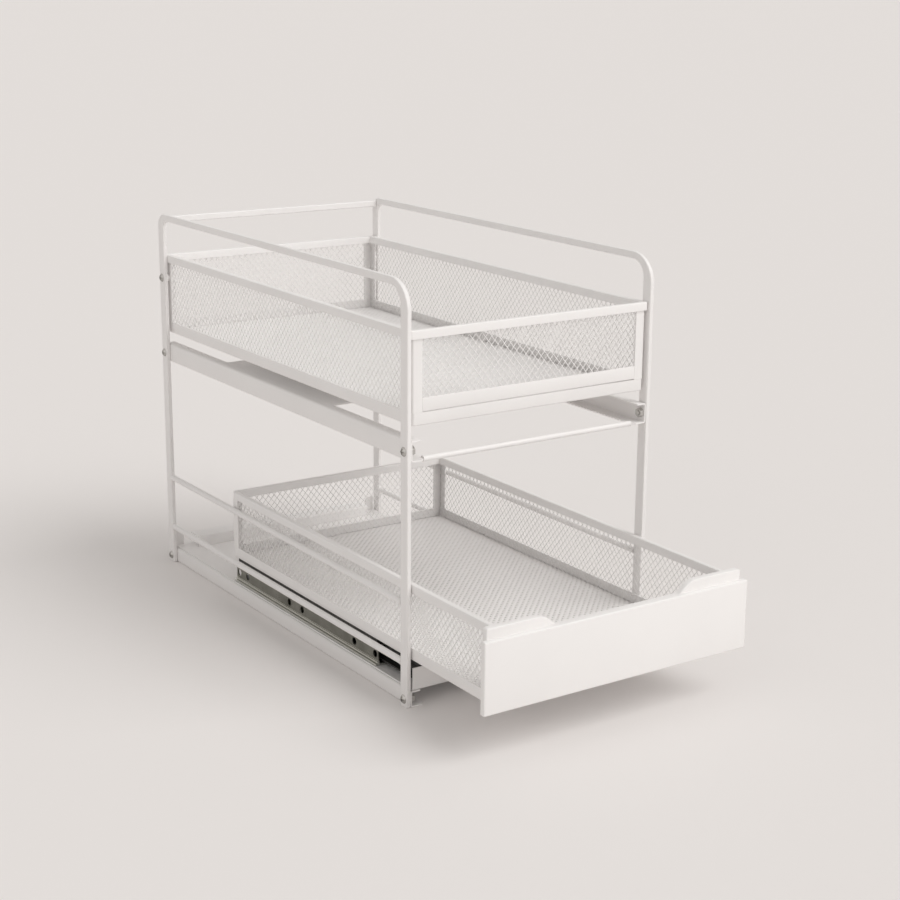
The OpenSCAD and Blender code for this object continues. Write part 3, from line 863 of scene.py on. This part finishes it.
@dataclass
class Rails:
    """The folded channels between the legs, their tie plate and the tray."""

    shop: Shop
    thickness: float = 1.2 * MM
    fold_radius: float = 1.8 * MM
    top_flange: float = 9 * MM
    corner_cut: float = 3 * MM
    tray_thickness: float = 1.0 * MM
    tray_level: float = 14.5 * MM
    lip_height: float = 18 * MM
    step_radius: float = 1.5 * MM
    ear_width: float = 9 * MM
    ear_height: float = 13.5 * MM
    step_depth: float = 18 * MM
    step_height: float = 10.5 * MM
    step_half_width: float = 96.1 * MM
    plate_edge: float = 0.3 * MM
    plate_faces: int = 2
    ear_faces: int = 8
    tray_edge: float = 0.2 * MM

    def build(self) -> None:
        """Makes the rails, the plate and the tray."""
        for side in SIDES:
            for level in ("shelf_rail", "base_rail"):
                self.rail(f"{level}_{side}", side)
        plate = Span.of("shelf_tie_plate")
        bm = block(plate.low, plate.high)
        bend_folds(bm, self.plate_edge, self.plate_faces)
        self.shop.piece("shelf_tie_plate_sheet", bm, Body.FRAME, Slot.WHITE_COAT, "shelf_tie_plate")
        self.tray()

    def rail(self, node: str, side: str) -> None:
        """Makes one channel, open towards the middle, its lower flange's corners cut off.

        Args:
            node: The node that it stands for.
            side: The side that it lies on.
        """
        span = Span.of(node)
        towards = 1 if side == "left" else -1
        web = span.low.x if side == "left" else span.high.x
        lip = span.high.x if side == "left" else span.low.x
        y = span.low.y
        points = [
            Vector((web + towards * self.top_flange, y, span.high.z)),
            Vector((web, y, span.high.z)),
            Vector((web, y, span.low.z)),
            Vector((lip, y, span.low.z)),
        ]
        bm = folded_strip(points, Vector((0, span.size.y, 0)), self.fold_radius)
        corners = [v for v in bm.verts if same(v.co.x, lip) and same(v.co.z, span.low.z)]
        round_corners(bm, corners, self.corner_cut, 1)
        face_towards(bm, Vector((-towards, 0, 0)))
        self.shop.sheet(f"{node}_folded", bm, self.thickness, Body.FRAME, node)

    def tray(self) -> None:
        """Makes the tray, its front lip, rear step and ears."""
        span = Span.of("base_tray")
        level = self.tray_level
        lip = folded_strip(
            [
                Vector((span.low.x, span.low.y, level + self.lip_height)),
                Vector((span.low.x, span.low.y, level - self.tray_thickness)),
                Vector((span.low.x, span.high.y, level - self.tray_thickness)),
            ],
            Vector((span.size.x, 0, 0)), self.step_radius)
        face_towards(lip, Vector((0, 0, -1)))
        tray = self.shop.sheet("base_tray_sheet", lip, self.tray_thickness, Body.FRAME, "base_tray")
        self.shop.break_edges(tray, self.tray_edge)
        step_y = span.high.y - self.step_depth
        step = folded_strip(
            [
                Vector((-self.step_half_width, step_y, level)),
                Vector((-self.step_half_width, step_y, level + self.step_height)),
                Vector((-self.step_half_width, span.high.y, level + self.step_height)),
            ],
            Vector((2 * self.step_half_width, 0, 0)), self.step_radius)
        face_towards(step, Vector((0, 0, 1)))
        self.shop.sheet("base_tray_step", step, self.tray_thickness, Body.FRAME)
        for side in (-1, 1):
            self.ear(side, span)

    def ear(self, side: int, span: Span) -> None:
        """Makes one rear ear with its inner top corner rounded.

        Args:
            side: -1 for the left ear, 1 for the right one.
            span: The tray's box.
        """
        outer = span.high.x
        low = Vector((outer - self.ear_width, span.high.y - self.tray_thickness, self.tray_level))
        high = Vector((outer, span.high.y, self.tray_level + self.ear_height))
        bm = block(low, high)
        rounded = []
        for edge in edges_along(bm, 1):
            if all(v.co.z > low.z + APART and v.co.x < high.x - APART for v in edge.verts):
                rounded.append(edge)
        bmesh.ops.bevel(bm, geom=rounded, offset=self.ear_width / 2, offset_type="OFFSET", affect="EDGES",
                        segments=self.ear_faces, profile=0.5, material=-1)
        if side < 0:
            bmesh.ops.scale(bm, vec=(-1, 1, 1), verts=bm.verts)
            bmesh.ops.recalc_face_normals(bm, faces=bm.faces)
        name = f"base_tray_ear_{side_name(side)}"
        ear = self.shop.piece(name, bm, Body.FRAME, Slot.WHITE_COAT)
        self.shop.break_edges(ear, self.tray_edge)


# ---- Nets ----


@dataclass(frozen=True)
class Mesh:
    """One cut of expanded mesh.

    Attributes:
        cell: A diamond's two diagonals.
        strand: Width of a strand.
        tilt: How far a strand's two edges stand off the sheet.
        thickness: Thickness of a strand.
        lift: How far the mesh lies past the middle of its node's thickness.
    """

    cell: Vector
    strand: float
    tilt: float
    thickness: float
    lift: float = 0.0


def diamond_net(length: float, height: float, mesh: Mesh) -> bmesh.types.BMesh:
    """A flat expanded mesh with its corner at the origin, drawn as a surface.

    Args:
        length: Its size along X.
        height: Its size along Y.
        mesh: The cut of mesh.

    Returns:
        The open surface.
    """
    cell = mesh.cell
    bm = bmesh.new()
    # A square grid on its corner, with cells to spare past every edge
    count = math.ceil(length / cell.x + height / cell.y) + 2
    bmesh.ops.create_grid(bm, x_segments=count, y_segments=count, size=count / 2)
    turn = Matrix.Rotation(math.radians(45), 4, "Z")
    shape = Matrix.Diagonal((cell.x / math.sqrt(2), cell.y / math.sqrt(2), 1.0, 1.0))
    place = Matrix.Translation((length / 2, height / 2, 0.0))
    bmesh.ops.transform(bm, matrix=place @ shape @ turn, verts=bm.verts)
    outside = []
    for face in bm.faces:
        centre = face.calc_center_median()
        if not (-cell.x < centre.x < length + cell.x and -cell.y < centre.y < height + cell.y):
            outside.append(face)
    bmesh.ops.delete(bm, geom=outside, context="FACES")
    gaps = list(bm.faces)
    bmesh.ops.inset_individual(bm, faces=gaps, thickness=mesh.strand / 2, use_even_offset=True)
    for gap in gaps:
        middle = gap.calc_center_median()
        for vert in gap.verts:
            vert.co.z += mesh.tilt * (vert.co.y - middle.y) / (cell.y / 2)
    bmesh.ops.delete(bm, geom=gaps, context="FACES_ONLY")
    start, end = Vector((0, 0, 0)), Vector((length, height, 0))
    for point, normal in ((start, (-1, 0, 0)), (end, (1, 0, 0)), (start, (0, -1, 0)), (end, (0, 1, 0))):
        cut_off(bm, point, normal)
    return bm


@dataclass
class Nets:
    """The fine expanded mesh of walls and floors."""

    shop: Shop
    wall: Mesh = Mesh(Vector((6.0 * MM, 7.1 * MM, 0)), 0.52 * MM, 0.0, 0.25 * MM)
    floor: Mesh = Mesh(Vector((6.0 * MM, 6.0 * MM, 0)), 2.5 * MM, -0.4 * MM, 0.5 * MM, 0.05 * MM)

    def build(self) -> None:
        """Makes every net, one for each node."""
        for name, body in (("basket", Body.FRAME), ("drawer", Body.DRAWER)):
            self.net(f"{name}_net_left", body, 0, self.wall)
            self.net(f"{name}_net_right", body, 0, self.wall)
            self.net(f"{name}_net_rear", body, 1, self.wall)
            self.net(f"{name}_net_floor", body, 2, self.floor)
        self.net("basket_net_front", Body.FRAME, 1, self.wall)

    def net(self, node: str, body: Body, across: int, mesh: Mesh) -> None:
        """Makes one net.

        Args:
            node: The node that it stands for.
            body: What it rides on.
            across: The axis through its thickness.
            mesh: The cut of mesh.
        """
        span = Span.of(node)
        along = 1 if across == 0 else 0
        up = 1 if across == 2 else 2
        bm = diamond_net(span.size[along], span.size[up], mesh)
        length, height = Vector((0, 0, 0)), Vector((0, 0, 0))
        length[along] = 1
        height[up] = 1
        turn = Matrix((length, height, length.cross(height))).transposed().to_4x4()
        corner = span.low.copy()
        corner[across] = span.middle[across] + mesh.lift
        bmesh.ops.transform(bm, matrix=Matrix.Translation(corner) @ turn, verts=bm.verts)
        obj = self.shop.piece(f"{node}_expanded", bm, body, Slot.WHITE_COAT, node)
        solidify = obj.modifiers.new("strands", "SOLIDIFY")
        solidify.thickness = mesh.thickness
        solidify.offset = 0.0


# ---- Folded work of both baskets ----


def on_outline(edge: bmesh.types.BMEdge, span: Span) -> bool:
    """Tells which edges lie on a box's outline, seen from above.

    Args:
        edge: The edge.
        span: The box.

    Returns:
        True for an edge on the outline.
    """
    for axis in (0, 1):
        for place in (span.low[axis], span.high[axis]):
            if all(same(v.co[axis], place) for v in edge.verts):
                return True
    return False


def folded_border(span: Span, flange: float, corner_radius: float, fold_radius: float,
                  front: Optional[float] = None) -> bmesh.types.BMesh:
    """A band round a floor with its flange turned in below.

    Args:
        span: The border's box.
        flange: The flange's width.
        corner_radius: Outer radius of the upright corners.
        fold_radius: Outer radius of the fold along the foot.
        front: Where the band is cut off square, or None.

    Returns:
        The open surface, facing out.
    """
    low_y = span.low.y if front is None else front - SPARE_FRONT
    xs = (span.low.x, span.low.x + flange, span.high.x - flange, span.high.x)
    ys = (low_y, low_y + flange, span.high.y - flange, span.high.y)
    bm = ring(xs, ys, span.low.z)
    outline = Span(Vector((span.low.x, low_y, span.low.z)), span.high)
    outer = [e for e in bm.edges if e.is_boundary and on_outline(e, outline)]
    drop_edges(bm, outer, Vector((0, 0, span.size.z)))
    bend_folds(bm, corner_radius, CORNER_FACES, edges_along(bm, 2))
    bend_folds(bm, fold_radius, FOLD_FACES, filter(is_level, bm.edges))
    if front is not None:
        cut_off(bm, Vector((0, front, 0)), (0, -1, 0))
    face_towards(bm, Vector((0, 0, -1)))
    return bm


@dataclass
class CornerPosts:
    """The folded corner posts of a basket, of which the first stands for their node."""

    shop: Shop
    node: str
    body: Body
    ends: tuple[int, ...]
    width: float = 9 * MM
    thickness: float = 1.2 * MM
    fold_radius: float = 1.6 * MM

    def build(self) -> None:
        """Makes the posts: the pair at each end, -1 in front and 1 at the rear."""
        span = Span.of(self.node)
        for number, (end, side) in enumerate(itertools.product(self.ends, (-1, 1))):
            x = span.low.x if side < 0 else span.high.x
            y = span.low.y if end < 0 else span.high.y
            points = [
                Vector((x, y - end * self.width, span.low.z)),
                Vector((x, y, span.low.z)),
                Vector((x - side * self.width, y, span.low.z)),
            ]
            bm = folded_strip(points, Vector((0, 0, span.size.z)), self.fold_radius)
            face_towards(bm, Vector((side, end, 0)))
            name = f"{self.node}_{'front' if end < 0 else 'rear'}_{side_name(side)}"
            stands_for = (self.node,) if number == 0 else ()
            self.shop.sheet(name, bm, self.thickness, self.body, *stands_for)


# ---- Top basket ----


@dataclass
class TopBasket:
    """The fixed basket's rim, posts, borders and bushes."""

    shop: Shop
    thickness: float = 1.2 * MM
    fold_radius: float = 1.3 * MM
    corner_radius: float = 2.4 * MM
    rim_fold: float = 0.9 * MM
    side_ledge: float = 5.7 * MM
    end_ledge: float = 4.4 * MM
    flange: float = 10 * MM
    sill_edge: float = 0.4 * MM
    bush_edge: float = 0.3 * MM

    def build(self) -> None:
        """Makes the basket's frame."""
        self.rim()
        span = Span.of("basket_bottom_frame")
        border = folded_border(span, self.flange, self.corner_radius, self.fold_radius)
        self.shop.sheet("basket_bottom_border", border, self.thickness, Body.FRAME, "basket_bottom_frame")
        CornerPosts(self.shop, "basket_corner_posts", Body.FRAME, (-1, 1)).build()
        sill = Span.of("basket_front_sill")
        bm = block(sill.low, sill.high)
        bend_folds(bm, self.sill_edge, FOLD_FACES)
        self.shop.piece("basket_front_sill_strip", bm, Body.FRAME, Slot.WHITE_COAT, "basket_front_sill")
        self.shop.refined("basket_spacers", Body.FRAME, Slot.WHITE_COAT, self.bush_edge)

    def rim(self) -> None:
        """Makes the rim, folded down on both sides of the nets' upper edges."""
        span = Span.of("basket_rim")
        xs = (span.low.x, span.low.x + self.side_ledge, span.high.x - self.side_ledge, span.high.x)
        ys = (span.low.y, span.low.y + self.end_ledge, span.high.y - self.end_ledge, span.high.y)
        bm = two_sided_rim(xs, ys, span.high.z, span.size.z, self.corner_radius, self.rim_fold)
        self.shop.sheet("basket_rim_folded", bm, self.thickness, Body.FRAME, "basket_rim")


# ---- Drawer ----


@dataclass
class Drawer:
    """The drawer's folded rim, posts, border and front."""

    shop: Shop
    thickness: float = 1.2 * MM
    fold_radius: float = 1.3 * MM
    corner_radius: float = 2.4 * MM
    rim_fold: float = 0.9 * MM
    rim_width: float = 4.5 * MM
    flange: float = 14 * MM
    dip_half_width: float = 59.5 * MM
    dip_depth: float = 9.5 * MM
    dip_shoulder: float = 11.5 * MM
    shoulder_round: float = 5.5 * MM
    dip_round: float = 1.5 * MM
    sheet_corner_faces: int = 7
    sheet_fold: float = 1.0 * MM
    panel_radius: float = 1.3 * MM

    def build(self) -> None:
        """Makes the drawer's frame and front."""
        self.rim()
        span = Span.of("drawer_bottom_frame")
        border = folded_border(span, self.flange, self.corner_radius, self.fold_radius, span.low.y)
        self.shop.sheet("drawer_bottom_border", border, self.thickness, Body.DRAWER, "drawer_bottom_frame")
        CornerPosts(self.shop, "drawer_corner_posts", Body.DRAWER, (1,)).build()
        self.front_sheet()
        self.front_panel()

    def rim(self) -> None:
        """Makes the rim, folded down on both sides of the nets' upper edges."""
        span = Span.of("drawer_rim")
        width = self.rim_width
        low_y = span.low.y - SPARE_FRONT
        xs = (span.low.x, span.low.x + width, span.high.x - width, span.high.x)
        ys = (low_y, low_y + width, span.high.y - width, span.high.y)
        bm = two_sided_rim(xs, ys, span.high.z, span.size.z, self.corner_radius, self.rim_fold)
        cut_off(bm, span.low, (0, -1, 0))
        self.shop.sheet("drawer_rim_folded", bm, self.thickness, Body.DRAWER, "drawer_rim")

    def front_sheet(self) -> None:
        """Makes the front sheet with its handle dip, folded back all round."""
        span = Span.of("drawer_front_sheet")
        low_x = self.dip_half_width
        high_x = low_x + self.dip_shoulder
        dip_z = span.high.z - self.dip_depth
        right = [
            (span.high.x, span.low.z),
            (span.high.x, span.high.z),
            (high_x, span.high.z),
            (low_x, dip_z),
        ]
        left = [(-x, z) for x, z in reversed(right)]
        bm = bmesh.new()
        bm.faces.new([bm.verts.new((x, span.low.y, z)) for x, z in right + left])
        corners = [
            (self.shoulder_round, [v for v in bm.verts if abs(abs(v.co.x) - high_x) < APART]),
            (self.dip_round, [v for v in bm.verts if abs(abs(v.co.x) - low_x) < APART]),
            (self.corner_radius, [v for v in bm.verts if abs(v.co.x) > high_x + APART]),
        ]
        for radius, verts in corners:
            round_corners(bm, verts, radius, self.sheet_corner_faces)
        rim = [e for e in bm.edges if e.is_boundary]
        drop_edges(bm, rim, Vector((0, span.size.y, 0)))
        bend_folds(bm, self.sheet_fold, FOLD_FACES, rim)
        face_towards(bm, Vector((0, -1, 0)))
        self.shop.sheet("drawer_front_sheet_folded", bm, self.thickness, Body.DRAWER, "drawer_front_sheet")

    def front_panel(self) -> None:
        """Makes the outer panel: a shallow pan, open towards the drawer."""
        span = Span.of("drawer_front_panel")
        bm = block(span.low, span.high)
        back = max(bm.faces, key=lambda f: f.calc_center_median().y)
        bmesh.ops.delete(bm, geom=[back], context="FACES_ONLY")
        bend_folds(bm, self.panel_radius)
        face_towards(bm, Vector((0, -1, 0)))
        self.shop.sheet("drawer_front_panel_pan", bm, self.thickness, Body.DRAWER, "drawer_front_panel")


# ---- Slides and fasteners ----


@dataclass
class Slides:
    """The ball bearing slides with their mounts, cages, balls and stops."""

    shop: Shop
    soften: float = 0.2 * MM
    stop_round: float = 0.6 * MM

    def build(self) -> None:
        """Finishes both slides."""
        for side, cage in zip(SIDES, (Body.CAGE_LEFT, Body.CAGE_RIGHT)):
            self.shop.refined(f"slide_channel_{side}", Body.DRAWER, Slot.ZINC, self.soften)
            self.shop.refined(f"channel_mount_{side}", Body.DRAWER, Slot.DARK_STEEL, self.soften)
            self.shop.refined(f"slide_rail_{side}", Body.FRAME, Slot.DARK_STEEL, self.soften)
            self.shop.refined(f"ball_cage_{side}", cage, Slot.ZINC)
            self.shop.refined(f"balls_{side}", cage, Slot.BALL)
        self.shop.refined("slide_stops", Body.FRAME, Slot.RUBBER, self.stop_round)


@dataclass
class Fasteners:
    """Screws, nuts and rivets."""

    shop: Shop
    soften: float = 0.15 * MM
    rivet_round: float = 0.25 * MM

    def build(self) -> None:
        """Finishes every fastener."""
        for node in ("frame_screws", "frame_nuts", "basket_screws", "slide_rail_screws"):
            self.shop.refined(node, Body.FRAME, Slot.FASTENER, self.soften)
        self.shop.refined("mount_rivets", Body.DRAWER, Slot.FASTENER, self.rivet_round)


# ---- Studio ----


def seen_directly(nodes: bpy.types.Nodes, links: bpy.types.NodeLinks) -> bpy.types.NodeSocket:
    """A factor of 1 for rays from the camera and through or off a clear or shiny surface.

    Args:
        nodes: The tree's nodes.
        links: The tree's links.

    Returns:
        The factor.
    """
    path = nodes.new("ShaderNodeLightPath")
    factor = path.outputs["Is Camera Ray"]
    for ray in ("Is Glossy Ray", "Is Transmission Ray"):
        either = nodes.new("ShaderNodeMath")
        either.operation = "MAXIMUM"
        links.new(factor, either.inputs[0])
        links.new(path.outputs[ray], either.inputs[1])
        factor = either.outputs["Value"]
    return factor


@dataclass(frozen=True)
class Lamp:
    """A wide softbox far away.

    Attributes:
        name: Its name.
        strength: Its light on a surface that faces it.
        width: How wide it looks from the object, in degrees.
        towards: The direction in which it stands.
    """

    name: str
    strength: float
    width: float
    towards: Vector


@dataclass
class Studio:
    """Floor, light and camera.

    Attributes:
        eye: The camera's place.
        yaw: How far the camera is turned from the rear to the right.
        pitch: How far it looks up, or down below 0.
        roll: How far it is turned about its line of sight.
        lens: Its focal length in millimetres.
        sensor: The width of its picture in millimetres.
        sight: How far it sees.
        floor_half: Half the floor's width.
        backdrop: The colour that the camera sees past the floor, and in the floor's glow.
        paper_glow: The glow's share of what the camera sees of the floor.
    """

    eye: Vector = Vector((-0.8158, -1.2479, 0.5643))
    yaw: float = math.radians(34.01)
    pitch: float = math.radians(-15.26)
    roll: float = math.radians(0.45)
    lens: float = 71.06
    sensor: float = 36.0
    sight: float = 100.0
    floor_half: float = 30.0
    floor_tone: Tone = (0.855, 0.824, 0.81)
    floor_roughness: float = 0.9
    floor_specular: float = 0.1
    backdrop: Tone = (0.768, 0.735, 0.714)
    paper_glow: float = 0.05
    sky_tone: Tone = (1.0, 0.975, 0.945)
    sky_strength: float = 0.50
    lamp_tone: Tone = (1.0, 0.995, 0.985)
    lamps: tuple[Lamp, ...] = (
        Lamp("front_softbox", 0.38, 60.0, Vector((0.30, -0.94, 0.25))),
        Lamp("top_softbox", 1.42, 45.0, Vector((0.40, -0.55, 0.75))),
        Lamp("left_fill", 0.24, 60.0, Vector((-0.92, -0.15, 0.30))),
    )

    def build(self) -> None:
        """Sets the whole studio."""
        self.camera()
        self.floor()
        self.light()
        bpy.context.scene.view_settings.view_transform = "Standard"

    def camera(self) -> None:
        """Places the camera at the photograph's viewing angle."""
        data = bpy.data.cameras.new("camera")
        data.lens = self.lens
        data.sensor_width = self.sensor
        data.clip_end = self.sight
        camera = bpy.data.objects.new("camera", data)
        level = math.radians(90)
        turn = Matrix.Rotation(-self.yaw, 4, "Z") @ Matrix.Rotation(level + self.pitch, 4, "X")
        camera.matrix_world = Matrix.Translation(self.eye) @ turn @ Matrix.Rotation(self.roll, 4, "Z")
        bpy.context.scene.collection.objects.link(camera)
        bpy.context.scene.camera = camera

    def floor(self) -> None:
        """Lays the pale floor, which fills the picture and glows a little where the camera sees it."""
        bm = bmesh.new()
        bmesh.ops.create_grid(bm, x_segments=1, y_segments=1, size=self.floor_half)
        mesh = bpy.data.meshes.new("floor")
        bm.to_mesh(mesh)
        bm.free()
        floor = bpy.data.objects.new("floor", mesh)
        bpy.context.scene.collection.objects.link(floor)
        bench = NodeBench("studio_paper")
        bench.set(Base_Color=(*self.floor_tone, 1.0), Roughness=self.floor_roughness,
                  Specular_IOR_Level=self.floor_specular)
        glow = bench.nodes.new("ShaderNodeEmission")
        glow.inputs["Color"].default_value = (*self.backdrop, 1.0)
        share = bench.nodes.new("ShaderNodeMath")
        share.operation = "MULTIPLY"
        share.inputs[1].default_value = self.paper_glow
        mix = bench.nodes.new("ShaderNodeMixShader")
        bench.links.new(seen_directly(bench.nodes, bench.links), share.inputs[0])
        bench.links.new(share.outputs["Value"], mix.inputs["Fac"])
        bench.links.new(bench.shader.outputs["BSDF"], mix.inputs[1])
        bench.links.new(glow.outputs["Emission"], mix.inputs[2])
        bench.links.new(mix.outputs["Shader"], bench.output.inputs["Surface"])
        mesh.materials.append(bench.material)

    def light(self) -> None:
        """Lights the set with wide softboxes and an even sky."""
        world = bpy.data.worlds.new("studio")
        bpy.context.scene.world = world
        world.use_nodes = True
        nodes, links = world.node_tree.nodes, world.node_tree.links
        nodes.clear()
        lit = nodes.new("ShaderNodeBackground")
        lit.inputs["Color"].default_value = (*self.sky_tone, 1.0)
        lit.inputs["Strength"].default_value = self.sky_strength
        seen = nodes.new("ShaderNodeBackground")
        seen.inputs["Color"].default_value = (*self.backdrop, 1.0)
        seen.inputs["Strength"].default_value = 1.0
        mix = nodes.new("ShaderNodeMixShader")
        out = nodes.new("ShaderNodeOutputWorld")
        links.new(seen_directly(nodes, links), mix.inputs["Fac"])
        links.new(lit.outputs["Background"], mix.inputs[1])
        links.new(seen.outputs["Background"], mix.inputs[2])
        links.new(mix.outputs["Shader"], out.inputs["Surface"])
        for lamp in self.lamps:
            data = bpy.data.lights.new(lamp.name, "SUN")
            data.energy = lamp.strength
            data.angle = math.radians(lamp.width)
            data.color = self.lamp_tone
            softbox = bpy.data.objects.new(lamp.name, data)
            softbox.matrix_world = lamp.towards.to_track_quat("Z", "Y").to_matrix().to_4x4()
            bpy.context.scene.collection.objects.link(softbox)


def main() -> None:
    """Builds and dresses every sub-assembly, in order."""
    logging.basicConfig(level=logging.INFO, format="%(name)s: %(message)s")
    Studio().build()
    shop = Shop(Finishes())
    for assembly in (SideFrames, Rods, Rails, TopBasket, Drawer, Nets, Slides, Fasteners):
        assembly(shop).build()
    log.info("%d pieces", shop.count)


if __name__ == "__main__":
    main()
